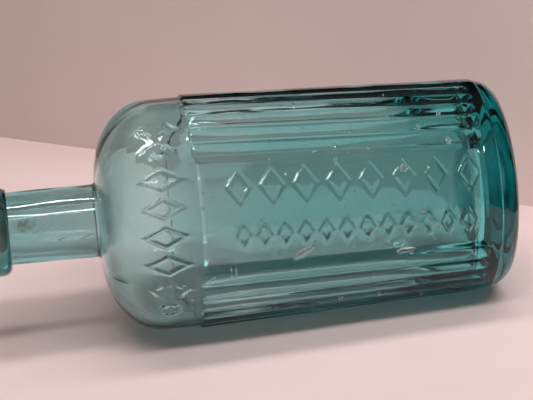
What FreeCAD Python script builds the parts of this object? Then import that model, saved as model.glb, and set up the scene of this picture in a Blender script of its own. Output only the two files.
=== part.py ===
"""Ribbed glass poison bottle with an applied lip and a cork.

The bottle stands upright on its foot ring. The origin is the centre of the foot, +Z runs up
to the mouth and the framed front panel faces -Y. All sizes are millimetres.
"""
import FreeCAD, Part
import math
import os

os.makedirs("parts", exist_ok=True)
V = FreeCAD.Vector

# Heights above the foot
mouth_z = 174.0
neck_z = 131.9
shoulder_z = 113.5
rib_top_z = 102.8
heel_band_z = 6.2
panel_top_z = 102.4
panel_foot_z = 10.6

# Glass of the body and the neck
shoulder_d = 74.6
heel_d = 67.8
heel_round = 6.0
heel_wall = 6.6
body_wall = 6.2
body_wall_z = 72.0
side_wall = 2.0
shoulder_wall = 1.5
neck_d = 23.5
neck_root_round = 1.2
bore_d = 16.0
neck_foot_bore_d = 18.6

# Thick base with its push-up
base_t = 8.0
foot_ring_w = 6.5
push_up = 9.0
inner_round = 9.0
inner_rise = 6.5

# Raised ribs on both sides of the front panel, and the plain back raised as far between the last two
ribs_per_side = 5
first_rib_deg = 32.35
rib_pitch_deg = 9.3
rib_width_deg = 6.6
rib_h = 0.7
rib_edge_round = 0.4
rib_root = 0.8

# Raised band round the heel that the ribs run into
band_w = 3.7
band_run_out = 4.6
band_h = 0.8

# Sunk front panel between the first two ribs
panel_depth = 0.8
panel_slope = 2.4

# Lip laid round the end of the neck
lip_d = 30.4
lip_h = 13.5
lip_lower_round = 3.0
lip_upper_round = 2.2
mouth_round = 0.8

# Tapered mouth and the cork that closes it
mouth_d = 17.2
seat_depth = 14.5
cork_in = 10.5
cork_proud = 9.0
cork_edge = 0.9
fit_gap = 0.06

BEZIER_QUARTER = 0.5523
FRONT_DEG = -90.0


def at(r, z):
    """Point of a half section at radius r and height z."""
    return V(r, 0, z)


def line(a, b):
    return Part.LineSegment(a, b).toShape()


def quarter(start, corner, end):
    """Quarter ellipse from start to end, tangent to the two lines that meet at corner."""
    curve = Part.BezierCurve()
    curve.setPoles([
        start,
        start + (corner - start) * BEZIER_QUARTER,
        end + (corner - end) * BEZIER_QUARTER,
        end,
    ])
    return curve.toShape()


def turned(edges, sweep_deg=360.0, middle_deg=0.0):
    """Solid made by turning a closed half section about the bottle's axis."""
    face = Part.Face(Part.Wire(edges))
    solid = face.revolve(V(0, 0, 0), V(0, 0, 1), sweep_deg)
    if sweep_deg < 360.0:
        solid.rotate(V(0, 0, 0), V(0, 0, 1), middle_deg - sweep_deg / 2)
    return solid


def side_r(z):
    """Radius of the plain side, which draws in evenly from the top of the ribs to the heel."""
    share = (z - heel_round) / (rib_top_z - heel_round)
    return heel_d / 2 + (shoulder_d - heel_d) / 2 * share


def side_line(low_z, high_z, out):
    """Line that follows the plain side at a distance out from it."""
    return line(at(side_r(low_z) + out, low_z), at(side_r(high_z) + out, high_z))


def glass_body():
    """Blown shell: foot, side, shoulder and neck outside, one hollow with a tapered mouth inside."""
    heel_r, shoulder_r, neck_r = heel_d / 2, shoulder_d / 2, neck_d / 2
    foot_out = heel_r - heel_round
    foot_in = foot_out - foot_ring_w
    root = neck_root_round
    dome_share = math.sin(math.pi / 4)
    outside = [
        quarter(at(0, push_up), at(foot_in * dome_share, push_up), at(foot_in, 0)),
        line(at(foot_in, 0), at(foot_out, 0)),
        quarter(at(foot_out, 0), at(heel_r, 0), at(heel_r, heel_round)),
        side_line(heel_round, rib_top_z, 0),
        line(at(shoulder_r, rib_top_z), at(shoulder_r, shoulder_z)),
        quarter(at(shoulder_r, shoulder_z), at(shoulder_r, neck_z), at(neck_r + root, neck_z)),
        quarter(at(neck_r + root, neck_z), at(neck_r, neck_z), at(neck_r, neck_z + root)),
        line(at(neck_r, neck_z + root), at(neck_r, mouth_z)),
    ]
    bore_r, foot_bore_r, mouth_r = bore_d / 2, neck_foot_bore_d / 2, mouth_d / 2
    in_low, in_high = heel_r - heel_wall, shoulder_r - side_wall
    in_middle = side_r(body_wall_z) - body_wall
    ceiling = neck_z - shoulder_wall
    floor_edge = in_low - inner_round
    inside = [
        line(at(neck_r, mouth_z), at(mouth_r + mouth_round, mouth_z)),
        quarter(at(mouth_r + mouth_round, mouth_z), at(mouth_r, mouth_z), at(mouth_r, mouth_z - mouth_round)),
        line(at(mouth_r, mouth_z - mouth_round), at(bore_r, mouth_z - seat_depth)),
        line(at(bore_r, mouth_z - seat_depth), at(foot_bore_r, ceiling + root)),
        quarter(at(foot_bore_r, ceiling + root), at(foot_bore_r, ceiling), at(foot_bore_r + root, ceiling)),
        quarter(at(foot_bore_r + root, ceiling), at(in_high, ceiling), at(in_high, shoulder_z)),
        line(at(in_high, shoulder_z), at(in_middle, body_wall_z)),
        line(at(in_middle, body_wall_z), at(in_low, base_t + inner_round)),
        quarter(at(in_low, base_t + inner_round), at(in_low, base_t), at(floor_edge, base_t)),
        quarter(at(floor_edge, base_t), at(floor_edge * dome_share, base_t + inner_rise),
                at(0, base_t + inner_rise)),
    ]
    axis = line(at(0, base_t + inner_rise), at(0, push_up))
    return turned(outside + inside + [axis])


def heel_band():
    """Raised band with a rounded lower edge, running out upwards into the plain side."""
    low, high = heel_band_z, heel_band_z + band_w
    end, edge = high + band_run_out, low + rib_edge_round
    low_in, low_out = side_r(low) - rib_root, side_r(low) + band_h
    end_in, end_out = side_r(end) - rib_root, side_r(end)
    return turned([
        line(at(low_in, low), at(low_out - rib_edge_round, low)),
        quarter(at(low_out - rib_edge_round, low), at(low_out, low), at(side_r(edge) + band_h, edge)),
        side_line(edge, high, band_h),
        line(at(side_r(high) + band_h, high), at(end_out, end)),
        line(at(end_out, end), at(end_in, end)),
        line(at(end_in, end), at(low_in, low)),
    ])


def front_panel():
    """Cutter for the sunk panel: sloping upper and lower borders, its sides under the first ribs."""
    low, high = panel_foot_z, panel_top_z
    floor_low, floor_high = low + panel_slope, high - panel_slope
    clear = band_h + panel_depth
    edges = [
        line(at(side_r(low) + band_h, low), at(side_r(floor_low) - panel_depth, floor_low)),
        side_line(floor_low, floor_high, -panel_depth),
        line(at(side_r(floor_high) - panel_depth, floor_high), at(side_r(high), high)),
        line(at(side_r(high), high), at(side_r(high) + clear, high)),
        line(at(side_r(high) + clear, high), at(side_r(low) + clear, low)),
        line(at(side_r(low) + clear, low), at(side_r(low) + band_h, low)),
    ]
    half_deg = first_rib_deg - rib_width_deg / 4
    return turned(edges, 2 * half_deg, FRONT_DEG)


def rib(middle_deg, width_deg):
    """Flat-topped rib with rounded long edges, its root sunk in the side and its foot in the heel band."""
    low, high = heel_band_z + band_w / 2, rib_top_z
    foot_in, foot_out = side_r(low) - rib_root, side_r(low) + rib_h
    top_in, top_out = side_r(high) - rib_root, side_r(high) + rib_h
    bar = turned([
        line(at(foot_in, low), at(foot_out, low)),
        side_line(low, high, rib_h),
        line(at(top_out, high), at(top_in, high)),
        line(at(top_in, high), at(foot_in, low)),
    ], width_deg, middle_deg)
    crest = max(bar.Faces, key=lambda face: face.Area)
    return bar.makeFillet(rib_edge_round, crest.Edges)


def ribs():
    """Ribs counted outwards from the panel on both sides of the front, then the raised plain back."""
    offsets = [first_rib_deg + i * rib_pitch_deg for i in range(ribs_per_side)]
    bars = [rib(FRONT_DEG + side * offset, rib_width_deg) for side in (-1, 1) for offset in offsets]
    back_edge_deg = first_rib_deg + ribs_per_side * rib_pitch_deg - rib_width_deg / 2
    return bars + [rib(FRONT_DEG + 180, 360 - 2 * back_edge_deg)]


def glass_bottle():
    return glass_body().fuse(heel_band()).cut(front_panel()).multiFuse(ribs())


def applied_lip():
    """Ring of glass laid round the end of the neck, flush with the mouth."""
    low = mouth_z - lip_h
    inner_r, outer_r = neck_d / 2, lip_d / 2
    return turned([
        line(at(inner_r, low), at(outer_r - lip_lower_round, low)),
        quarter(at(outer_r - lip_lower_round, low), at(outer_r, low), at(outer_r, low + lip_lower_round)),
        line(at(outer_r, low + lip_lower_round), at(outer_r, mouth_z - lip_upper_round)),
        quarter(at(outer_r, mouth_z - lip_upper_round), at(outer_r, mouth_z),
                at(outer_r - lip_upper_round, mouth_z)),
        line(at(outer_r - lip_upper_round, mouth_z), at(inner_r, mouth_z)),
        line(at(inner_r, mouth_z), at(inner_r, low)),
    ])


def cork_stopper():
    """Tapered cork that follows the cone of the mouth with a fit gap and stands proud of it."""
    taper = (mouth_d - bore_d) / 2 / (seat_depth - mouth_round)
    low, high = mouth_z - cork_in, mouth_z + cork_proud
    low_r = bore_d / 2 + taper * (low - mouth_z + seat_depth) - fit_gap
    high_r = low_r + taper * (high - low)
    edge_in = taper * cork_edge
    return turned([
        line(at(0, low), at(low_r - cork_edge, low)),
        quarter(at(low_r - cork_edge, low), at(low_r, low), at(low_r + edge_in, low + cork_edge)),
        line(at(low_r + edge_in, low + cork_edge), at(high_r - edge_in, high - cork_edge)),
        quarter(at(high_r - edge_in, high - cork_edge), at(high_r, high), at(high_r - cork_edge, high)),
        line(at(high_r - cork_edge, high), at(0, high)),
        line(at(0, high), at(0, low)),
    ])


NODES = {
    "glass_bottle": glass_bottle,
    "applied_lip": applied_lip,
    "cork_stopper": cork_stopper,
}

for name, make in NODES.items():
    solid = make().Solids[0]
    solid.exportStep(f"parts/{name}.step")
    print(name, "valid", solid.isValid(), "volume", round(solid.Volume, 1), "faces", len(solid.Faces))
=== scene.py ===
"""Looks of the ribbed glass poison bottle: blown aqua glass, the lip laid round its neck and its cork.

Shapes are worked out in millimetres round the bottle's axis. An angle counts in degrees from the
front (-Y) towards +X, a height counts from the foot, and meshes are turned to metres when made.
"""
import math

import bpy
import numpy as np
from mathutils import Matrix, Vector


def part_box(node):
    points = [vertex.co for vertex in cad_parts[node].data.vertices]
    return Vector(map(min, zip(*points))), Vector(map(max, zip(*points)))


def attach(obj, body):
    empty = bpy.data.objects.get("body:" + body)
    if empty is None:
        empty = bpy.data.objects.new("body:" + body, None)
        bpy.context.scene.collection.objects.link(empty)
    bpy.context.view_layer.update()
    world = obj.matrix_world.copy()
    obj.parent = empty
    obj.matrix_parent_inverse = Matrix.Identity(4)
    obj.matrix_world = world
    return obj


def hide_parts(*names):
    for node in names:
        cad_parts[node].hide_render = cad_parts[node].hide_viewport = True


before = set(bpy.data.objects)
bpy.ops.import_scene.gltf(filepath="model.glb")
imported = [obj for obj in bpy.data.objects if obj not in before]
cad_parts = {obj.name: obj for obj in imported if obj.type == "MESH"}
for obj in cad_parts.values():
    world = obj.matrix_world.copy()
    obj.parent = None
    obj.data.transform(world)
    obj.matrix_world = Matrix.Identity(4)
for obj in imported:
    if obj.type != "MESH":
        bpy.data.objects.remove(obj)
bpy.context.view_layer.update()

MM = 0.001


def box_mm(name):
    """Lowest and highest corner of a CAD node in millimetres."""
    low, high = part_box(name)
    return np.array(low) / MM, np.array(high) / MM


bottle_low, bottle_high = box_mm("glass_bottle")
lip_low, lip_high = box_mm("applied_lip")
cork_low, cork_high = box_mm("cork_stopper")

# Heights of the bottle in millimetres
MOUTH_Z = bottle_high[2]
NECK_Z = 131.9
SHOULDER_Z = 113.5
RIB_TOP_Z = 102.8
HEEL_BAND_Z = 6.2
PANEL_TOP_Z = 102.4
PANEL_FOOT_Z = 10.6

# Glass of the body and the neck
SHOULDER_R = -bottle_low[1]
HEEL_R = 33.9
HEEL_ROUND = 6.0
HEEL_WALL = 6.6
BODY_WALL = 6.2
BODY_WALL_Z = 72.0
SIDE_WALL = 2.0
SHOULDER_WALL = 1.5
NECK_R = 11.75
NECK_ROOT = 1.2
BORE_R = 8.0
NECK_FOOT_BORE_R = 9.3
MOUTH_R = 8.6
MOUTH_ROUND = 0.8
SEAT_DEPTH = 14.5
BELOW_SEAT_FADE = 10.0

# Thick base
BASE_T = 8.0
FOOT_RING = 6.5
PUSH_UP = 9.0
INNER_ROUND = 9.0
INNER_RISE = 6.5

# Ribs beside the panel, the plain back raised as far, and the band round the heel that they run into
RIBS_PER_SIDE = 5
FIRST_RIB_DEG = 32.35
RIB_PITCH_DEG = 9.3
RIB_WIDTH_DEG = 6.6
RIB_SOFT_DEG = 1.2
RIB_COLUMNS_DEG = (-4.1, -3.7, -3.2, -2.6, 0.0, 2.6, 3.2, 3.7)
RIB_H = 0.7
RIB_END = 1.0
BAND_W = 3.7
BAND_RUN_OUT = 4.6
BAND_EDGE = 0.8

# Sunk panel
PANEL_HALF_DEG = 28.6
PANEL_SIDE_DEG = 3.0
PANEL_DEPTH = 0.8
PANEL_SLOPE = 2.4

# Lean of the mould's pattern round the bottle: degrees for each millimetre up, and the height without any
TWIST_DEG_PER_MM = 0.044
TWIST_FROM_Z = 57.0

# Raised ornament: a row of open lozenges and one of small ones on the panel, tall lozenges on the shoulder
ORNAMENT_H = 0.45
ORNAMENT_LINE = 0.8
OPEN_ROW_DEG = 12.8
OPEN_ROW_LOW_Z = 16.5
OPEN_PITCH = 10.4
OPEN_COUNT = 8
OPEN_HALF = (5.2, 3.2)
SMALL_ROW_DEG = -12.6
SMALL_ROW_LOW_Z = 17.5
SMALL_PITCH = 6.5
SMALL_COUNT = 12
SMALL_HALF = (3.5, 1.9)
TALL_FIRST_DEG = -51.0
TALL_PITCH_DEG = 14.0
TALL_COUNT = 8
TALL_MIDDLE_Z = 113.0
TALL_HALF = (3.0, 6.0)
TALL_MARGIN = 1.0

# Glass missing on the inside behind the ribs: depth, reach round the bottle and up it, and where it fades
THINNER_RIGHT = 4.4
THINNER_LEFT = 3.6
THINNER_DEG = (28.0, 162.0)
THINNER_FADE_DEG = 30.0
THINNER_LOW_Z = 24.0
THINNER_LOW_FADE = 14.0
THINNER_HIGH_FADE = 30.0

# Bloom on the inside, partly painted shade: its grey film also stands in for shade seen through the glass.
# Share lost over the shoulder and behind the ribs, and how far each change reaches
BLOOM_SHADE_LESS_SHOULDER = 0.8
BLOOM_SHADE_LESS_RIGHT = 0.75
BLOOM_SHADE_LESS_LEFT = 0.4
BLOOM_SHADE_RIBS_DEG = (28.0, 125.0)
BLOOM_SHADE_RIBS_FADE_DEG = 10.0
BLOOM_SHADE_SHOULDER_FADE = 15.0
BLOOM_SHADE_NECK_FADE = 5.0
NECK_FOOT_BELOW = 8.0
NECK_FOOT_FADE = 6.0
NECK_FOOT_ABOVE = 2.0

# Stain on the inside of the neck: middle, half width and half height of the patch, and its soft edge
STAIN_DEG = 9.0
STAIN_Z = 155.5
STAIN_HALF = (20.0, 5.0)
STAIN_REACH = 1.3

# Lip: its rounded edges, how far it is sunk into the neck, and its lower edge drawn in on one side
LIP_LOWER_ROUND = 3.0
LIP_UPPER_ROUND = 2.2
LIP_SINK = 0.05
LIP_UNEVEN_FADE = 1.5
# Share of the grey film over the whole lip: bloom and painted shade
LIP_BLOOM_AND_SHADE = 0.7
SLACK_SHARE = 0.62
SLACK_SIDE_DEG = 90.0
SLACK_H = 6.0
SLACK_FADE = 4.5

# Cork: how much its radius grows for each millimetre up, its rounded edges and the pits in its side
CORK_TAPER = 0.0438
CORK_EDGE = 0.9
CORK_CUT_IN = 0.05
CORK_SIDE_FADE = 1.5
PIT_COUNT = 45
PIT_WIDTHS = (0.5, 1.6)
PIT_HALF_H = 0.35
PIT_DEPTH = 0.2
PIT_REACH = 1.6

# The foot and the inside have one column for this many of the outside
COARSE = 3


def smooth(x):
    """Soft step from 0 to 1: three x squared less two x cubed, held at 0 and 1 outside."""
    t = np.clip(x, 0.0, 1.0)
    return t * t * (3 - 2 * t)


def quarter(start, end, count, leaves_along_r):
    """Rows of a quarter ellipse between two (radius, height) points: sine and cosine of one angle."""
    (r0, z0), (r1, z1) = start, end
    t = np.linspace(0, math.pi / 2, count + 1)[1:]
    if leaves_along_r:
        return np.stack([r0 + (r1 - r0) * np.sin(t), z1 + (z0 - z1) * np.cos(t)], 1)
    return np.stack([r1 + (r0 - r1) * np.cos(t), z0 + (z1 - z0) * np.sin(t)], 1)


def straight(start, end, count):
    """Rows evenly spaced on a straight line, the start left out."""
    share = np.linspace(0, 1, count + 1)[1:, None]
    return np.array(start) + (np.array(end) - np.array(start)) * share


def side_r(z):
    """Radius of the plain side: a straight taper from the top of the ribs to the heel."""
    share = (z - HEEL_ROUND) / (RIB_TOP_Z - HEEL_ROUND)
    return HEEL_R + (SHOULDER_R - HEEL_R) * share


def outer_r(z):
    """Radius of the outside from the heel to the neck: taper, short cylinder and quarter ellipse."""
    share = np.clip((z - SHOULDER_Z) / (NECK_Z - SHOULDER_Z), 0, 1)
    root = NECK_R + NECK_ROOT
    shoulder = root + (SHOULDER_R - root) * np.sqrt(1 - share ** 2)
    return np.where(z < RIB_TOP_Z, side_r(z), shoulder)


def side_heights():
    """Heights of the rows up the side, close together at the heel band and the ends of ribs and panel."""
    band_top = HEEL_BAND_Z + BAND_W
    stops = (HEEL_ROUND, HEEL_BAND_Z, HEEL_BAND_Z + BAND_EDGE, band_top, band_top + BAND_RUN_OUT,
             PANEL_TOP_Z - PANEL_SLOPE, RIB_TOP_Z - RIB_END, RIB_TOP_Z)
    counts = (2, 5, 3, 10, 165, 6, 5)
    return np.concatenate([np.linspace(low, high, count + 1)[1:]
                           for low, high, count in zip(stops[:-1], stops[1:], counts)])


def foot_section():
    """Rows of (radius, height) from the middle of the push-up to the inner edge of the foot ring."""
    foot_in = HEEL_R - HEEL_ROUND - FOOT_RING
    r = np.linspace(0, foot_in, 13)
    return np.stack([r, PUSH_UP * (1 - (r / foot_in) ** 2)], 1)


def outside_section():
    """Rows of (radius, height) from the foot ring's outer edge to the mouth, and the zone of each row."""
    foot_out = HEEL_R - HEEL_ROUND
    z = side_heights()
    tall_top = TALL_MIDDLE_Z + TALL_HALF[1] + TALL_MARGIN
    shoulder_z = np.concatenate([
        np.linspace(RIB_TOP_Z, TALL_MIDDLE_Z - TALL_HALF[1], 5)[1:],
        np.linspace(TALL_MIDDLE_Z - TALL_HALF[1], tall_top, 29)[1:],
        NECK_Z - (NECK_Z - tall_top) * np.linspace(1, 0, 25)[1:] ** 2,
    ])
    parts = [
        ("heel", np.array([[foot_out, 0.0]])),
        ("heel", quarter((foot_out, 0), (HEEL_R, HEEL_ROUND), 10, True)),
        ("side", np.stack([side_r(z), z], 1)),
        ("shoulder", np.stack([outer_r(shoulder_z), shoulder_z], 1)),
        ("neck", quarter((NECK_R + NECK_ROOT, NECK_Z), (NECK_R, NECK_Z + NECK_ROOT), 5, True)),
        ("neck", straight((NECK_R, NECK_Z + NECK_ROOT), (NECK_R, MOUTH_Z), 18)),
    ]
    rows = np.concatenate([part for _, part in parts])
    zones = np.concatenate([np.full(len(part), zone) for zone, part in parts])
    return rows, zones


def inside_section():
    """Rows of (radius, height) from the mouth down the bore and the hollow to the middle of the floor."""
    ceiling = NECK_Z - SHOULDER_WALL
    in_high, in_middle, in_low = SHOULDER_R - SIDE_WALL, side_r(BODY_WALL_Z) - BODY_WALL, HEEL_R - HEEL_WALL
    floor_edge = in_low - INNER_ROUND
    floor_r = np.linspace(floor_edge, 0, 9)[1:]
    return np.concatenate([
        np.array([[MOUTH_R + MOUTH_ROUND, MOUTH_Z]]),
        quarter((MOUTH_R + MOUTH_ROUND, MOUTH_Z), (MOUTH_R, MOUTH_Z - MOUTH_ROUND), 4, True),
        straight((MOUTH_R, MOUTH_Z - MOUTH_ROUND), (BORE_R, MOUTH_Z - SEAT_DEPTH), 4),
        straight((BORE_R, MOUTH_Z - SEAT_DEPTH), (NECK_FOOT_BORE_R, ceiling + NECK_ROOT), 9),
        quarter((NECK_FOOT_BORE_R, ceiling + NECK_ROOT), (NECK_FOOT_BORE_R + NECK_ROOT, ceiling), 4, False),
        quarter((NECK_FOOT_BORE_R + NECK_ROOT, ceiling), (in_high, SHOULDER_Z), 18, True),
        straight((in_high, SHOULDER_Z), (in_middle, BODY_WALL_Z), 12),
        straight((in_middle, BODY_WALL_Z), (in_low, BASE_T + INNER_ROUND), 12),
        quarter((in_low, BASE_T + INNER_ROUND), (floor_edge, BASE_T), 10, False),
        np.stack([floor_r, BASE_T + INNER_RISE * (1 - (floor_r / floor_edge) ** 2)], 1),
    ])


def bottle_angles():
    """Angles of the columns: fine over the panel, eight to a rib, wider apart over the plain back."""
    across_rib = np.array(RIB_COLUMNS_DEG)
    middles = FIRST_RIB_DEG + RIB_PITCH_DEG * np.arange(RIBS_PER_SIDE)
    right = (middles[:, None] + across_rib).ravel()
    back_first = middles[-1] + RIB_PITCH_DEG
    flank = back_first + across_rib[:4]
    panel_columns, back_columns = 96, 80
    over_panel = np.linspace(-right[0], right[0], panel_columns + 2)[1:-1]
    over_back = np.linspace(back_first, 360 - back_first, back_columns)
    return np.concatenate([-right[::-1], over_panel, right, flank, over_back, 360 - flank[::-1]])


def twist_deg(z):
    """How far the mould's pattern leans round the bottle at a height."""
    return TWIST_DEG_PER_MM * (np.clip(z, HEEL_BAND_Z, RIB_TOP_Z) - TWIST_FROM_Z)


def waves(angle_deg, height, span, amplitude, seed):
    """Soft unevenness of blown glass: eight cosines round the bottle and along it, about one span apart."""
    draw = np.random.default_rng(seed)
    total = np.zeros(np.broadcast(angle_deg, height).shape)
    count = 8
    for _ in range(count):
        lean, phase = draw.uniform(0, math.pi), draw.uniform(0, 2 * math.pi)
        length = span * draw.uniform(0.7, 1.5)
        turns = round(2 * math.pi * SHOULDER_R * math.cos(lean) / length)
        along = 2 * math.pi * math.sin(lean) / length
        total += np.cos(turns * np.radians(angle_deg) + along * height + phase)
    return amplitude * total / math.sqrt(count)


def ribs(angle_deg, z):
    """Share of the full rib height: flat crests with soft flanks, the raised back and the heel band."""
    off_front = np.abs((angle_deg + 180) % 360 - 180)
    index = np.clip(np.round((off_front - FIRST_RIB_DEG) / RIB_PITCH_DEG), 0, RIBS_PER_SIDE - 1)
    off_crest = np.abs(off_front - FIRST_RIB_DEG - index * RIB_PITCH_DEG)
    across = smooth((RIB_WIDTH_DEG / 2 + RIB_SOFT_DEG / 2 - off_crest) / RIB_SOFT_DEG)
    back_edge = FIRST_RIB_DEG + RIBS_PER_SIDE * RIB_PITCH_DEG - RIB_WIDTH_DEG / 2
    back = smooth((off_front - back_edge + RIB_SOFT_DEG / 2) / RIB_SOFT_DEG)
    band = smooth((HEEL_BAND_Z + BAND_W + BAND_RUN_OUT - z) / BAND_RUN_OUT)
    ends = smooth((RIB_TOP_Z - z) / RIB_END) * smooth((z - HEEL_BAND_Z) / BAND_EDGE)
    return np.maximum(np.maximum(across, back), band) * ends


def panel(angle_deg, z):
    """Share of the panel's depth: a flat floor with sloping borders on all four sides."""
    sides = smooth((PANEL_HALF_DEG - np.abs(angle_deg)) / PANEL_SIDE_DEG)
    ends = smooth((PANEL_TOP_Z - z) / PANEL_SLOPE) * smooth((z - PANEL_FOOT_Z) / PANEL_SLOPE)
    return sides * ends


def off_nearest(position, first, pitch, count):
    """Distance from the nearest of a row of evenly spaced places."""
    index = np.clip(np.round((position - first) / pitch), 0, count - 1)
    return position - first - index * pitch


def lozenge_gap(across, along, half):
    """Distance out from a lozenge's edge: the sum of both shares less one, over the edge's steepness."""
    return (np.abs(across) / half[0] + np.abs(along) / half[1] - 1) / math.hypot(1 / half[0], 1 / half[1])


def ridge(gap):
    """Soft raised line that follows a gap of nought."""
    return smooth(1 - np.abs(gap) / ORNAMENT_LINE)


def panel_ornament(angle_deg, z):
    """Share of the ornament's height on the panel: open lozenges on its right, small ones on its left."""
    per_degree = np.radians(side_r(z))
    open_row = lozenge_gap((angle_deg - OPEN_ROW_DEG) * per_degree,
                           off_nearest(z, OPEN_ROW_LOW_Z, OPEN_PITCH, OPEN_COUNT), OPEN_HALF)
    small_row = lozenge_gap((angle_deg - SMALL_ROW_DEG) * per_degree,
                            off_nearest(z, SMALL_ROW_LOW_Z, SMALL_PITCH, SMALL_COUNT), SMALL_HALF)
    return np.maximum(ridge(open_row), ridge(small_row))


def shoulder_ornament(angle_deg, z):
    """Share of the ornament's height on the shoulder: tall outlined lozenges."""
    off_front = (angle_deg + 180) % 360 - 180
    across = off_nearest(off_front, TALL_FIRST_DEG, TALL_PITCH_DEG, TALL_COUNT) * np.radians(SHOULDER_R)
    edge = lozenge_gap(across, z - TALL_MIDDLE_Z, TALL_HALF)
    return ridge(edge)


def side_relief(angle_deg, z):
    """How far the moulded side stands out from the plain taper."""
    sunk = panel(angle_deg, z)
    raised = RIB_H * ribs(angle_deg, z) * (1 - sunk)
    return raised - PANEL_DEPTH * sunk + ORNAMENT_H * panel_ornament(angle_deg, z)


def inside_relief(angle_deg, section):
    """How far the inside stands into the hollow: soft waves, less the glass missing behind the ribs."""
    r, z = section[:, :1], section[:, 1:]
    off_front = np.abs((angle_deg + 180) % 360 - 180)
    right_side = np.sin(np.radians(angle_deg)) > 0
    first, last = THINNER_DEG
    round_bottle = smooth((off_front - first) / THINNER_FADE_DEG)
    round_bottle *= smooth((last - off_front) / THINNER_FADE_DEG)
    up_bottle = smooth((z - THINNER_LOW_Z) / THINNER_LOW_FADE)
    up_bottle *= smooth((SHOULDER_Z - z) / THINNER_HIGH_FADE)
    thinner = np.where(right_side, THINNER_RIGHT, THINNER_LEFT) * round_bottle * up_bottle
    below_cork = smooth((MOUTH_Z - SEAT_DEPTH - z) / BELOW_SEAT_FADE)
    uneven = waves(angle_deg, z, span=34.0, amplitude=0.25, seed=11) * (r / SHOULDER_R) ** 2
    return uneven * below_cork - thinner


def turned_points(section, angles):
    """Grid of points: each (radius, height) row turned to every angle and round by the mould's lean."""
    r, z = section[..., 0], section[..., 1]
    radians = np.radians(angles + twist_deg(z))
    return np.stack([r * np.sin(radians), -r * np.cos(radians), z], -1)


def out_of_section(section):
    """Unit direction square to the section at each row, pointing out of the solid."""
    along = np.gradient(section, axis=0)
    along /= np.linalg.norm(along, axis=1)[:, None]
    return np.stack([along[:, 1], -along[:, 0]], 1)


def raised_grid(section, angles, out):
    """Grid of points of a turned section whose rows move square out of it."""
    moved = section[:, None, :] + out[..., None] * out_of_section(section)[:, None, :]
    return turned_points(moved, angles)


def grid_quads(first, rows, columns):
    """Quads of a grid closed round its columns, whose points are numbered row by row from first."""
    ring = np.arange(columns)
    beside = (ring + 1) % columns
    start = first + columns * np.arange(rows - 1)[:, None]
    quads = np.stack([start + ring, start + beside, start + columns + beside, start + columns + ring], -1)
    return quads.reshape(-1, 4)


def pole_fan(pole, first, columns, pole_is_last):
    """Triangles between one pole point and the ring of points numbered from first."""
    ring = np.arange(columns)
    beside = (ring + 1) % columns
    if pole_is_last:
        return np.stack([first + ring, first + beside, 0 * ring + pole], -1)
    return np.stack([0 * ring + pole, first + beside, first + ring], -1)


def ring_joint(fine, coarse, columns, fine_is_last):
    """Flat faces between a fine ring and a coarse one, which has one in COARSE of its columns."""
    ring = np.arange(columns // COARSE)
    beside = (ring + 1) % len(ring)
    steps = [fine + (COARSE * ring + step) % columns for step in range(COARSE + 1)]
    if fine_is_last:
        return np.stack([coarse + ring, coarse + beside] + steps[::-1], -1)
    return np.stack(steps + [coarse + beside, coarse + ring], -1)


def make_piece(name, points, faces, material, body, node_name, marks=None):
    """Mesh from points in millimetres and arrays of faces, riding on a body in place of its CAD node."""
    mesh = bpy.data.meshes.new(name)
    sizes = np.concatenate([np.full(len(group), group.shape[1]) for group in faces])
    corners = np.concatenate([group.ravel() for group in faces])
    mesh.vertices.add(len(points))
    mesh.vertices.foreach_set("co", (points * MM).astype(np.float32).ravel())
    mesh.loops.add(len(corners))
    mesh.loops.foreach_set("vertex_index", corners.astype(np.int32))
    mesh.polygons.add(len(sizes))
    mesh.polygons.foreach_set("loop_start", (np.cumsum(sizes) - sizes).astype(np.int32))
    mesh.polygons.foreach_set("use_smooth", np.ones(len(sizes), bool))
    for mark, values in (marks or {}).items():
        mesh.attributes.new(mark, "FLOAT", "POINT").data.foreach_set("value", values.astype(np.float32))
    mesh.update(calc_edges=True)
    mesh.validate()
    mesh.materials.append(material)
    piece = bpy.data.objects.new(name, mesh)
    bpy.context.scene.collection.objects.link(piece)
    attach(piece, body)
    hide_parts(node_name)
    return piece


def linear(hex_colour):
    """Linear red, green, blue and alpha of an sRGB hex colour."""
    srgb = np.array([int(hex_colour[i:i + 2], 16) for i in (0, 2, 4)]) / 255
    low, high = srgb / 12.92, ((srgb + 0.055) / 1.055) ** 2.4
    return (*np.where(srgb <= 0.04045, low, high).tolist(), 1.0)


def node(tree, kind, inputs=(), **settings):
    """Adds a node with its settings; inputs give each socket a value or the output that is linked to it."""
    new = tree.nodes.new(kind)
    for name, value in settings.items():
        setattr(new, name, value)
    for socket, value in dict(inputs).items():
        if isinstance(value, bpy.types.NodeSocket):
            tree.links.new(value, new.inputs[socket])
        else:
            new.inputs[socket].default_value = value
    return new


def per_mm(size):
    """Texture scale at which one turn of the pattern measures a size in millimetres."""
    return 1 / (size * MM)


def new_material(name):
    """Empty node material and its tree."""
    material = bpy.data.materials.new(name)
    material.use_nodes = True
    material.node_tree.nodes.clear()
    return material, material.node_tree


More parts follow.
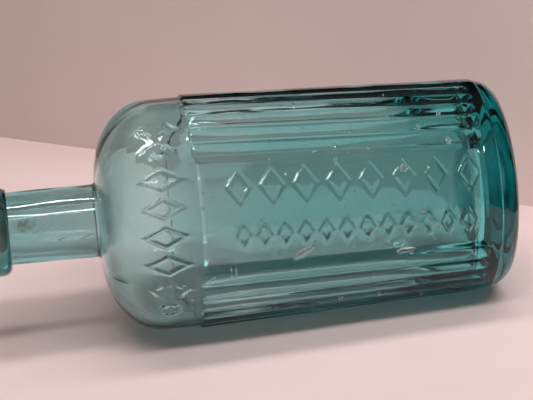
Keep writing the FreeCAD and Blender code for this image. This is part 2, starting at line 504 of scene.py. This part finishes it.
def aqua_glass(name):
    """Aqua bottle glass: iron in the sand tints it where it is thick.

    It is fire-bright, with a faint ripple. Where a mesh is marked with bloom and shade, a thin grey film
    softens and darkens what shows through: partly real bloom, partly painted shade. A stain marks the brown
    specks of old contents, and the crack is painted near black, a painted reflection of dark surroundings.
    """
    material, tree = new_material(name)
    place = node(tree, "ShaderNodeTexCoord").outputs["Object"]
    ripple = node(tree, "ShaderNodeTexNoise", {"Vector": place, "Scale": per_mm(6.0), "Detail": 2.0})
    bump = node(tree, "ShaderNodeBump", {
        "Height": ripple.outputs[0], "Strength": 1.0, "Distance": 0.03 * MM})
    bloom_and_shade = node(tree, "ShaderNodeAttribute", attribute_name="bloom_and_shade")
    stain = node(tree, "ShaderNodeAttribute", attribute_name="stain")
    crack_painted_dark = node(tree, "ShaderNodeAttribute", attribute_name="crack_painted_dark")
    blotch = node(tree, "ShaderNodeTexNoise", {"Vector": place, "Scale": per_mm(1.1), "Detail": 6.0})
    patchy = node(tree, "ShaderNodeMath", {
        0: stain.outputs["Fac"], 1: blotch.outputs[0]}, operation="MULTIPLY")
    spots = node(tree, "ShaderNodeMapRange", {0: patchy.outputs[0], 1: 0.25, 2: 0.55, 3: 0.0, 4: 0.9})
    # Grey film: partly bloom, partly painted shade darkening what shows through the glass
    haze_and_shade = node(tree, "ShaderNodeMix", {
        0: bloom_and_shade.outputs["Fac"], 6: linear("EEFAF9"), 7: linear("C5CDCC")}, data_type="RGBA")
    stained = node(tree, "ShaderNodeMix", {
        0: spots.outputs[0], 6: haze_and_shade.outputs[2], 7: linear("8A6A3C")}, data_type="RGBA")
    # Painted reflection: the crack is painted near black, for the dark surroundings it would reflect
    colour = node(tree, "ShaderNodeMix", {
        0: crack_painted_dark.outputs["Fac"], 6: stained.outputs[2], 7: linear("141A1A")}, data_type="RGBA")
    dull = node(tree, "ShaderNodeMath", {0: bloom_and_shade.outputs["Fac"], 1: 0.1}, operation="MULTIPLY")
    surface = node(tree, "ShaderNodeBsdfPrincipled", {
        "Base Color": colour.outputs[2], "Roughness": dull.outputs[0], "IOR": 1.52,
        "Transmission Weight": 1.0, "Normal": bump.outputs[0]})
    tint = node(tree, "ShaderNodeVolumeAbsorption", {"Color": linear("93EDEE"), "Density": 130.0})
    node(tree, "ShaderNodeOutputMaterial", {"Surface": surface.outputs[0], "Volume": tint.outputs[0]})
    return material


def cork_bark(name):
    """Cut cork: warm tan with paler and darker grain, and dark pores that run across the stopper."""
    material, tree = new_material(name)
    place = node(tree, "ShaderNodeTexCoord").outputs["Object"]
    grain = node(tree, "ShaderNodeTexNoise", {
        "Vector": place, "Scale": per_mm(1.4), "Detail": 6.0, "Roughness": 0.7})
    flat = node(tree, "ShaderNodeMapping", {"Vector": place, "Scale": (1.0, 1.0, 3.0)})
    cells = node(tree, "ShaderNodeTexVoronoi", {
        "Vector": flat.outputs[0], "Scale": per_mm(3.4), "Randomness": 1.0})
    edge = node(tree, "ShaderNodeTexNoise", {
        "Vector": flat.outputs[0], "Scale": per_mm(2.0), "Detail": 4.0})
    ragged = node(tree, "ShaderNodeMath", {
        0: edge.outputs[0], 1: 0.35, 2: cells.outputs[0]}, operation="MULTIPLY_ADD")
    pores = node(tree, "ShaderNodeMapRange", {0: ragged.outputs[0], 1: 0.42, 2: 0.33, 3: 0.0, 4: 1.0})
    tan = node(tree, "ShaderNodeMapRange", {0: grain.outputs[0], 1: 0.35, 2: 0.65, 3: 0.0, 4: 1.0})
    bark = node(tree, "ShaderNodeMix", {
        0: tan.outputs[0], 6: linear("8E6238"), 7: linear("C79E6C")}, data_type="RGBA")
    colour = node(tree, "ShaderNodeMix", {
        0: pores.outputs[0], 6: bark.outputs[2], 7: linear("4B2E1A")}, data_type="RGBA")
    height = node(tree, "ShaderNodeMath", {0: grain.outputs[0], 1: pores.outputs[0]}, operation="SUBTRACT")
    bump = node(tree, "ShaderNodeBump", {
        "Height": height.outputs[0], "Strength": 1.0, "Distance": 0.15 * MM})
    surface = node(tree, "ShaderNodeBsdfPrincipled", {
        "Base Color": colour.outputs[2], "Roughness": 0.8, "Normal": bump.outputs[0]})
    node(tree, "ShaderNodeOutputMaterial", {"Surface": surface.outputs[0]})
    return material


# Air bubbles in the wall, drawn-out ones in the neck, and last the crack in the shoulder.
# Each row gives both ends as angle and height, then the width
BUBBLES = np.array([
    (-26, 74, -19.5, 67, 2.8),
    (-28.5, 41, -28, 34.5, 2.6),
    (28, 21.5, 32, 21.5, 2.0),
    (15, 38, 18.5, 36, 2.6),
    (-7.5, 33.5, -7, 31, 1.5),
    (46, 22.5, 49.5, 22.5, 1.7),
    (37, 30, 42, 30, 0.7),
    (-26, 93.5, -32.5, 93.5, 0.6),
    (-26, 92, -32.5, 92, 0.5),
    (44, 51.5, 38, 52, 0.6),
    (23, 58, 25.5, 58, 1.5),
    (30, 65, 30, 63.5, 1.0),
    (34, 68.5, 34, 67, 1.0),
    (32, 58.5, 32, 57, 1.1),
    (-9.5, 154, 9, 146, 0.3),
    (-9.5, 153.5, 2, 143, 0.3),
    (-27.5, 149, -19, 143, 0.35),
    (-23.5, 138.5, -16, 134, 0.3),
    (-43.5, 129.5, -36, 124.8, 0.75),
])
BUBBLE_DEPTH = 0.9
BUBBLE_THICK = 0.8
BLADE_THICK = 1.0
BUBBLE_GRID = (8, 12)

# Small round seeds between them: how far round and up the side they lie, and their sizes
SEED_COUNT = 130
SEED_DEG = 75
SEED_LOW_Z = 14
SEED_HIGH_Z = 112
SEED_SMALLEST = 0.35
SEED_SPREAD = 0.75
SEED_GRID = (6, 8)


def in_glass(angle_deg, z, depth):
    """Points at a depth below the outside of the bottle."""
    radians = np.radians(angle_deg)
    r = np.where(z > NECK_Z + NECK_ROOT, NECK_R, outer_r(z)) - depth
    return np.stack([r * np.sin(radians), -r * np.cos(radians), z], -1)


def bubble_points(ends, width, thick, depth, rows, columns):
    """Closed ellipsoids in the wall: long from end to end, wide along the wall and thick through it."""
    low, high = in_glass(ends[:, 0], ends[:, 1], depth), in_glass(ends[:, 2], ends[:, 3], depth)
    middle, half_long = (low + high) / 2, (high - low) / 2
    through = middle * (1, 1, 0)
    through /= np.linalg.norm(through, axis=1)[:, None]
    wide = np.cross(half_long, through)
    wide /= np.linalg.norm(wide, axis=1)[:, None]
    polar = np.linspace(0, math.pi, rows + 1)[1:-1, None]
    turn = np.linspace(0, 2 * math.pi, columns, endpoint=False)
    ball = np.stack([np.cos(polar) + 0 * turn, np.sin(polar) * np.cos(turn),
                     np.sin(polar) * np.sin(turn)], -1).reshape(-1, 3)
    ball = np.concatenate([[[1, 0, 0]], ball, [[-1, 0, 0]]])
    axes = np.stack([half_long, wide * (width / 2)[:, None], through * (thick / 2)[:, None]], 1)
    return middle[:, None, :] + np.einsum("pk,bkx->bpx", ball, axes)


def bubble_faces(first, count, rows, columns):
    """Faces of the ellipsoids, turned to face the air inside each of them."""
    size = 2 + (rows - 1) * columns
    last = 1 + (rows - 2) * columns
    shapes = [grid_quads(1, rows - 1, columns), pole_fan(0, 1, columns, False),
              pole_fan(size - 1, last, columns, True)]
    starts = (first + size * np.arange(count))[:, None, None]
    return [(starts + shape).reshape(-1, shape.shape[1]) for shape in shapes]


def seed_ends():
    """Ends and sizes of the seeds, evenly scattered; squaring the draw leaves few large ones."""
    draw = np.random.default_rng(3)
    angle = draw.uniform(-SEED_DEG, SEED_DEG, SEED_COUNT)
    z = draw.uniform(SEED_LOW_Z, SEED_HIGH_Z, SEED_COUNT)
    size = SEED_SMALLEST + SEED_SPREAD * draw.uniform(0, 1, SEED_COUNT) ** 2
    return np.stack([angle, z - size / 2, angle, z + size / 2], 1), size


def inside_bloom_and_shade(angle_deg, z):
    """Bloom and painted shade inside: less over the shoulder and behind ribs, more at the neck's foot."""
    over_shoulder = smooth((z - SHOULDER_Z + BLOOM_SHADE_SHOULDER_FADE) / BLOOM_SHADE_SHOULDER_FADE)
    over_shoulder *= smooth((NECK_Z - z) / BLOOM_SHADE_NECK_FADE)
    neck_foot = smooth((z - NECK_Z + NECK_FOOT_BELOW) / NECK_FOOT_FADE)
    neck_foot *= smooth((NECK_Z + NECK_FOOT_ABOVE - z) / NECK_FOOT_ABOVE)
    off_front, (first, last) = np.abs(angle_deg), BLOOM_SHADE_RIBS_DEG
    behind_ribs = smooth((off_front - first) / BLOOM_SHADE_RIBS_FADE_DEG)
    behind_ribs *= smooth((last - off_front) / BLOOM_SHADE_RIBS_FADE_DEG)
    less = np.where(angle_deg > 0, BLOOM_SHADE_LESS_RIGHT, BLOOM_SHADE_LESS_LEFT) * behind_ribs * (z < NECK_Z)
    return (1 - BLOOM_SHADE_LESS_SHOULDER * over_shoulder + neck_foot) * (1 - less)


def neck_stain(angle_deg, z):
    """Share of stain: full near the middle of an oval patch, fading with the distance in half widths."""
    across, along = (angle_deg - STAIN_DEG) / STAIN_HALF[0], (z - STAIN_Z) / STAIN_HALF[1]
    return smooth(STAIN_REACH - np.hypot(across, along))


def glass_bottle():
    """Blown bottle: one turned shell, moved out of its section by the moulded relief, and its bubbles."""
    angles = bottle_angles()
    coarse_angles = angles[::COARSE]
    foot = foot_section()
    outside, zones = outside_section()
    inside = inside_section()
    z = outside[:, 1:]
    out = np.zeros((len(outside), len(angles)))
    side, shoulder = zones == "side", zones == "shoulder"
    out[side] = side_relief(angles, z[side])
    out[shoulder] = ORNAMENT_H * shoulder_ornament(angles, z[shoulder])
    wall_rows = zones != "heel"
    out[wall_rows] += waves(angles, z[wall_rows], span=22.0, amplitude=0.05, seed=5)
    in_out = inside_relief(coarse_angles, inside)

    foot_grid = raised_grid(foot, coarse_angles, np.zeros((len(foot), len(coarse_angles))))
    outside_grid = raised_grid(outside, angles, out)
    inside_grid = raised_grid(inside, coarse_angles, in_out)
    thick = np.where(BUBBLES[:, 4] < BUBBLE_THICK, BLADE_THICK, BUBBLE_THICK)
    big = bubble_points(BUBBLES[:, :4], BUBBLES[:, 4], thick, BUBBLE_DEPTH, *BUBBLE_GRID)
    seeds, seed_size = seed_ends()
    small = bubble_points(seeds, seed_size, seed_size, BUBBLE_DEPTH, *SEED_GRID)

    points = [foot_grid[0, :1], foot_grid[1:].reshape(-1, 3), outside_grid.reshape(-1, 3),
              inside_grid[:-1].reshape(-1, 3), inside_grid[-1, :1],
              big.reshape(-1, 3), small.reshape(-1, 3)]
    starts = np.cumsum([0] + [len(group) for group in points])
    fine, coarse = len(angles), len(coarse_angles)
    faces = [
        pole_fan(0, starts[1], coarse, False),
        grid_quads(starts[1], len(foot) - 1, coarse),
        ring_joint(starts[2], starts[2] - coarse, fine, True),
        grid_quads(starts[2], len(outside), fine),
        ring_joint(starts[3] - fine, starts[3], fine, False),
        grid_quads(starts[3], len(inside) - 1, coarse),
        pole_fan(starts[4], starts[4] - coarse, coarse, True),
        *bubble_faces(starts[5], len(BUBBLES), *BUBBLE_GRID),
        *bubble_faces(starts[6], SEED_COUNT, *SEED_GRID),
    ]
    points = np.concatenate(points)
    is_inside = np.zeros(len(points))
    is_inside[starts[3]:starts[5]] = 1
    angle = np.degrees(np.arctan2(points[:, 0], -points[:, 1]))
    # The crack's points are marked to be painted near black: a painted reflection of dark surroundings
    painted_dark_crack = np.zeros(len(points))
    painted_dark_crack[starts[6] - big.shape[1]:starts[6]] = 1
    marks = {
        "bloom_and_shade": is_inside * inside_bloom_and_shade(angle, points[:, 2]),
        "stain": is_inside * neck_stain(angle, points[:, 2]),
        "crack_painted_dark": painted_dark_crack,
    }
    return make_piece("glass_bottle_blown", points, faces, aqua_glass("blown aqua glass"),
                      "bottle", "glass_bottle", marks)


def applied_lip():
    """Lip: a turned ring with rounded corners, sunk a hair into the neck and left uneven by the tool.

    Soft waves move its outside, and its lower edge keeps only a share of its reach on the slack side.
    """
    low, high, inner_r, rim_r = lip_low[2], lip_high[2], NECK_R - LIP_SINK, lip_high[0]
    lower, upper = LIP_LOWER_ROUND, LIP_UPPER_ROUND
    section = np.concatenate([
        np.array([[inner_r, low]]),
        straight((inner_r, low), (rim_r - lower, low), 3),
        quarter((rim_r - lower, low), (rim_r, low + lower), 10, True),
        straight((rim_r, low + lower), (rim_r, high - upper), 10),
        quarter((rim_r, high - upper), (rim_r - upper, high), 8, False),
        straight((rim_r - upper, high), (inner_r, high), 3),
        straight((inner_r, high), (inner_r, low), 5)[:-1],
    ])
    angles = np.arange(0, 360, 2.0)
    r, z = section[:, :1], section[:, 1:]
    outward = smooth((r - NECK_R) / LIP_UNEVEN_FADE)
    swells = waves(angles, z, span=30.0, amplitude=0.12, seed=21)
    tool_rings = waves(0 * angles, z, span=1.6, amplitude=0.03, seed=22)
    slope = waves(angles, 0 * z, span=45.0, amplitude=0.15, seed=23)
    slack_side = smooth((np.cos(np.radians(angles - SLACK_SIDE_DEG)) - 0.2) / 0.6)
    slack = SLACK_SHARE * slack_side * smooth((low + SLACK_H - z) / SLACK_FADE) * np.maximum(r - NECK_R, 0)
    rows = np.stack([r + outward * (swells + tool_rings) - slack, z + outward * slope], -1)
    grid = turned_points(rows, angles)
    rows, columns = grid.shape[:2]
    row, column = np.meshgrid(np.arange(rows), np.arange(columns), indexing="ij")
    above, beside = (row + 1) % rows, (column + 1) % columns
    quads = np.stack([row * columns + column, row * columns + beside,
                      above * columns + beside, above * columns + column], -1).reshape(-1, 4)
    points = grid.reshape(-1, 3)
    return make_piece("applied_lip_ring", points, [quads], aqua_glass("tooled aqua glass"),
                      "bottle", "applied_lip", {"bloom_and_shade": np.full(len(points), LIP_BLOOM_AND_SHADE)})


def cork_stopper():
    """Cork: a turned taper with rounded edges, cut a little uneven and pitted where pores meet its side."""
    low, high, high_r = cork_low[2], cork_high[2], cork_high[0]
    low_r, edge = high_r - CORK_TAPER * (high - low), CORK_EDGE
    section = np.concatenate([
        np.array([[0.0, low]]),
        straight((0, low), (low_r - edge, low), 6),
        quarter((low_r - edge, low), (low_r, low + edge), 5, True),
        straight((low_r, low + edge), (high_r, high - edge), 60),
        quarter((high_r, high - edge), (high_r - edge, high), 5, False),
        straight((high_r - edge, high), (0, high), 8),
    ])
    angles = np.arange(0, 360, 3.0)
    draw = np.random.default_rng(8)
    pit_deg = draw.uniform(0, 360, PIT_COUNT)
    pit_z = draw.uniform(low, high, PIT_COUNT)
    pit_wide = draw.uniform(*PIT_WIDTHS, PIT_COUNT)
    across = ((angles[:, None] - pit_deg + 180) % 360 - 180) * math.radians(high_r) / pit_wide
    along = (section[:, 1, None] - pit_z) / PIT_HALF_H
    pits = smooth(PIT_REACH - np.hypot(across[None], along[:, None])).max(-1)
    side = smooth((section[:, :1] - low_r + CORK_SIDE_FADE) / CORK_SIDE_FADE)
    cut_in = CORK_CUT_IN + PIT_DEPTH * pits - waves(angles, section[:, 1:], span=16.0, amplitude=0.02, seed=9)
    moved = section[:, None, :] - np.stack([side * cut_in, 0 * cut_in], -1)
    grid = turned_points(moved, angles)
    points = np.concatenate([grid[0, :1], grid[1:-1].reshape(-1, 3), grid[-1, :1]])
    columns, last = len(angles), 1 + len(angles) * (len(section) - 3)
    faces = [pole_fan(0, 1, columns, False), grid_quads(1, len(section) - 2, columns),
             pole_fan(len(points) - 1, last, columns, True)]
    return make_piece("cork_stopper_cut", points, faces, cork_bark("cut cork"),
                      "cork", "cork_stopper")


# Camera of the photograph: lens in pixels, the bottle's lie in the picture and where its foot is
PICTURE = (533, 400)
FOCAL_PIXELS = 2000.0
AXIS_SLOPE = 0.097
AXIS_YAW = 0.124
PANEL_TURN_DEG = 4.7
FOOT_IN_VIEW = np.array([75.86, -6.14, 661.1])


def bottle_in_view():
    """Columns are the bottle's X, Y and Z in camera axes: right, down and ahead."""
    lean = math.atan(AXIS_SLOPE)
    axis = np.array([-math.cos(AXIS_YAW) * math.cos(lean), math.cos(AXIS_YAW) * math.sin(lean),
                     -math.sin(AXIS_YAW)])
    ahead = np.array([0.0, 0.0, 1.0])
    away = ahead - (ahead @ axis) * axis
    away /= np.linalg.norm(away)
    up = np.cross(away, axis)
    turn = math.radians(PANEL_TURN_DEG)
    back = math.cos(turn) * away + math.sin(turn) * up
    return np.stack([np.cross(back, axis), back, axis], 1)


def make_camera():
    """Camera that sees the bottle as the photograph does."""
    turn = bottle_in_view()
    right, down, ahead = turn
    place = -turn.T @ FOOT_IN_VIEW * MM
    matrix = np.eye(4)
    matrix[:3] = np.stack([right, -down, -ahead, place], 1)
    data = bpy.data.cameras.new("camera")
    data.sensor_width = 36.0
    data.lens = data.sensor_width * FOCAL_PIXELS / PICTURE[0]
    data.clip_start, data.clip_end = 0.01, 50.0
    camera = bpy.data.objects.new("camera", data)
    camera.matrix_world = Matrix(matrix.tolist())
    bpy.context.scene.collection.objects.link(camera)
    bpy.context.scene.camera = camera


# Table that the bottle lies on, touching its ribs near the shoulder and at the heel, and the wall behind it
TABLE_TURN_DEG = 15.0
WALL_BACK = 86.6
WALL_SLOPE = 0.877
WALL_H = 82.0
TALL_WALL_H = 260.0
WALL_RISES = (70.0, 140.0)
STAGE_LEFT = 900.0
STAGE_RIGHT = -90.0
STAGE_FRONT = -900.0
# Heights along the bottle over which the stage paint darkens to the neck end: painted shade
SHADE_RAMP_BASE_Z = -60.0
SHADE_RAMP_NECK_Z = 300.0


def table_axes():
    """Along (to the neck), back and up of the table, with the height of the bottle's axis at the foot."""
    high_r, low_r = SHOULDER_R + RIB_H, side_r(HEEL_BAND_Z) + RIB_H
    tilt = math.atan((high_r - low_r) / (RIB_TOP_Z - HEEL_BAND_Z))
    turn = math.radians(TABLE_TURN_DEG)
    level = np.array([math.cos(turn), -math.sin(turn), 0.0])
    axis = np.array([0.0, 0.0, 1.0])
    up = math.cos(tilt) * level + math.sin(tilt) * axis
    along = math.cos(tilt) * axis - math.sin(tilt) * level
    rise = math.cos(tilt) * high_r - math.sin(tilt) * RIB_TOP_Z
    return along, np.cross(along, up), up, rise


def on_table(along, back, up):
    """Point in millimetres counted from under the foot: along to the neck, back and up from the table."""
    a, b, u, rise = table_axes()
    return along * a + back * b + (up - rise) * u


def stage_plane(name, corners, material):
    """One flat stage surface round its corners in millimetres."""
    mesh = bpy.data.meshes.new(name)
    mesh.from_pydata([tuple(corner * MM) for corner in corners], [], [range(len(corners))])
    mesh.materials.append(material)
    plane = bpy.data.objects.new(name, mesh)
    bpy.context.scene.collection.objects.link(plane)
    return plane


def one_sided(name, base_end, neck_end):
    """Matt pale paint, darker to the neck end as painted shade, clear from behind so nothing hides the
    bottle.
    """
    material, tree = new_material(name)
    place = node(tree, "ShaderNodeTexCoord").outputs["Object"]
    cloud = node(tree, "ShaderNodeTexNoise", {"Vector": place, "Scale": per_mm(45.0), "Detail": 3.0})
    share = node(tree, "ShaderNodeMapRange", {0: cloud.outputs[0], 1: 0.3, 2: 0.7, 3: 0.0, 4: 0.05})
    along = node(tree, "ShaderNodeSeparateXYZ", {0: place}).outputs["Z"]
    reach = node(tree, "ShaderNodeMapRange", {
        0: along, 1: SHADE_RAMP_BASE_Z * MM, 2: SHADE_RAMP_NECK_Z * MM, 3: 0.0, 4: 1.0})
    # Painted shade: the colour runs from the base end's to the darker neck end's along the bottle
    plain = node(tree, "ShaderNodeMix", {
        0: reach.outputs[0], 6: linear(base_end), 7: linear(neck_end)}, data_type="RGBA")
    colour = node(tree, "ShaderNodeMix", {
        0: share.outputs[0], 6: plain.outputs[2], 7: linear("8C7A74")}, data_type="RGBA")
    paint = node(tree, "ShaderNodeBsdfPrincipled", {"Base Color": colour.outputs[2], "Roughness": 0.6})
    clear = node(tree, "ShaderNodeBsdfTransparent")
    facing = node(tree, "ShaderNodeNewGeometry")
    mixed = node(tree, "ShaderNodeMixShader", {
        0: facing.outputs["Backfacing"], 1: paint.outputs[0], 2: clear.outputs[0]})
    node(tree, "ShaderNodeOutputMaterial", {"Surface": mixed.outputs[0]})
    return material


def make_stage():
    """Pale table under the lying bottle and a slanting pale wall, low by the body and tall by the neck."""
    left, right, front = STAGE_LEFT, STAGE_RIGHT, STAGE_FRONT
    left_back, right_back = (WALL_BACK + WALL_SLOPE * along for along in (left, right))
    # Table and wall are painted darker towards the neck end, the wall much more: painted shade
    stage_plane("table", [on_table(a, b, 0) for a, b in
                          ((right, front), (right, right_back), (left, left_back), (left, front))],
                one_sided("table paint", "F0D6D4", "E8D2CF"))
    stage_plane("wall", [on_table(a, WALL_BACK + WALL_SLOPE * a, u) for a, u in
                         ((right, 0), (right, WALL_H), (WALL_RISES[0], WALL_H),
                          (WALL_RISES[1], TALL_WALL_H), (left, TALL_WALL_H), (left, 0))],
                one_sided("wall paint", "F6E0DC", "C4B4B0"))


def area_lamp(name, place, target, size, power, shows_in_glass):
    """Rectangular lamp in millimetres and watts: it either shows in glass or lights matt things."""
    a = table_axes()[0]
    ahead = target - place
    ahead = ahead / np.linalg.norm(ahead)
    wide = a - (a @ ahead) * ahead
    wide /= np.linalg.norm(wide)
    matrix = np.eye(4)
    matrix[:3] = np.stack([wide, np.cross(-ahead, wide), -ahead, place * MM], 1)
    data = bpy.data.lights.new(name, "AREA")
    data.shape = "RECTANGLE"
    data.size, data.size_y = size[0] * MM, size[1] * MM
    data.energy = power
    lamp = bpy.data.objects.new(name, data)
    lamp.matrix_world = Matrix(matrix.tolist())
    lamp.visible_camera = False
    lamp.visible_glossy = lamp.visible_transmission = shows_in_glass
    lamp.visible_diffuse = not shows_in_glass
    bpy.context.scene.collection.objects.link(lamp)


def make_room():
    """Room round the table: lit from the front and above, dim behind and at the base end.

    The camera sees it evenly pale. Through glass it is pale but for a dark band above the wall behind the
    bottle, and what lights matt things through the glass takes only a share of that.
    """
    world = bpy.data.worlds.new("room")
    world.use_nodes = True
    tree = world.node_tree
    tree.nodes.clear()
    look = node(tree, "ShaderNodeTexCoord").outputs["Generated"]
    left, away, rise = (
        node(tree, "ShaderNodeVectorMath", {0: look, 1: tuple(axis)},
             operation="DOT_PRODUCT").outputs["Value"]
        for axis in table_axes()[:3])
    above = node(tree, "ShaderNodeMapRange", {0: rise, 1: 0.0, 2: 0.9, 3: 0.1, 4: 0.4})
    dim = node(tree, "ShaderNodeMapRange", {0: away, 1: -0.3, 2: 0.2, 3: 1.0, 4: 0.03})
    high = node(tree, "ShaderNodeMapRange", {0: rise, 1: 0.5, 2: 0.8, 3: 0.0, 4: 0.4})
    open_air = node(tree, "ShaderNodeMath", {0: dim.outputs[0], 1: high.outputs[0]}, operation="MAXIMUM")
    shut = node(tree, "ShaderNodeMapRange", {0: left, 1: -0.6, 2: -0.2, 3: 0.3, 4: 1.0})
    lit = node(tree, "ShaderNodeMath", {0: above.outputs[0], 1: shut.outputs[0]}, operation="MULTIPLY")
    room = node(tree, "ShaderNodeMath", {0: lit.outputs[0], 1: open_air.outputs[0]}, operation="MULTIPLY")
    below = node(tree, "ShaderNodeMapRange", {0: rise, 1: -0.05, 2: -0.2, 3: 0.0, 4: 0.4})
    floor = node(tree, "ShaderNodeMath", {0: below.outputs[0], 1: shut.outputs[0]}, operation="MULTIPLY")
    light = node(tree, "ShaderNodeMath", {0: room.outputs[0], 1: floor.outputs[0]}, operation="MAXIMUM")
    behind = node(tree, "ShaderNodeMapRange", {0: away, 1: 0.1, 2: 0.4, 3: 0.0, 4: 1.0})
    band = node(tree, "ShaderNodeMapRange", {0: rise, 1: 0.75, 2: 0.55, 3: 0.0, 4: 1.0})
    dark = node(tree, "ShaderNodeMath", {0: behind.outputs[0], 1: band.outputs[0]}, operation="MULTIPLY")
    through = node(tree, "ShaderNodeMapRange", {0: dark.outputs[0], 1: 0.0, 2: 1.0, 3: 0.75, 4: 0.01})
    rays = node(tree, "ShaderNodeLightPath")
    direct = node(tree, "ShaderNodeMapRange", {
        0: rays.outputs["Diffuse Depth"], 1: 0.0, 2: 1.0, 3: 1.0, 4: 0.35})
    clear = node(tree, "ShaderNodeMath", {
        0: rays.outputs["Is Transmission Ray"], 1: direct.outputs[0]}, operation="MULTIPLY")
    passed = node(tree, "ShaderNodeMix", {0: clear.outputs[0], 2: light.outputs[0], 3: through.outputs[0]})
    seen = node(tree, "ShaderNodeMix", {0: rays.outputs["Is Camera Ray"], 2: passed.outputs[0], 3: 0.75})
    air = node(tree, "ShaderNodeBackground", {"Color": linear("F4E6E2"), "Strength": seen.outputs[0]})
    node(tree, "ShaderNodeOutputWorld", {"Surface": air.outputs[0]})
    bpy.context.scene.world = world


# Lamps over the bottle and slanted to the front: long strips that light, short ones that shine in glass
LAMP_SLANT_DEG = 30.0
LAMP_AIM_UP = 30.0
STRIP_ALONG = -40.0
STRIP_UP = 800.0
STRIP_SIZE = (900, 137)
SHINE_ALONG = 200.0
SHINE_AIM_ALONG = 150.0
SHINE_UP = 350.0
SHINE_SIZE = (220, 22)
SHINE_POWER = 0.42


def make_lights():
    """Long strips light the table, wall and cork; short ones above the neck draw lines on the glass."""
    slant = math.tan(math.radians(LAMP_SLANT_DEG))
    strip_aim, shine_aim = (on_table(along, 0, LAMP_AIM_UP) for along in (STRIP_ALONG, SHINE_AIM_ALONG))
    for name, depth, power in (("strip over", 0.0, 3.15), ("strip front", -slant, 4.9)):
        strip = on_table(STRIP_ALONG, STRIP_UP * depth, STRIP_UP)
        shine = on_table(SHINE_ALONG, SHINE_UP * depth, SHINE_UP)
        area_lamp(name, strip, strip_aim, STRIP_SIZE, power, False)
        area_lamp("short " + name, shine, shine_aim, SHINE_SIZE, SHINE_POWER, True)


def set_render():
    """Plain colour transform and enough bounces for light to pass all the walls of the glass."""
    scene = bpy.context.scene
    scene.view_settings.view_transform = "Standard"
    scene.cycles.max_bounces = 32
    scene.cycles.transmission_bounces = 32
    scene.cycles.glossy_bounces = 12


glass_bottle()
applied_lip()
cork_stopper()
make_camera()
make_stage()
make_room()
make_lights()
set_render()
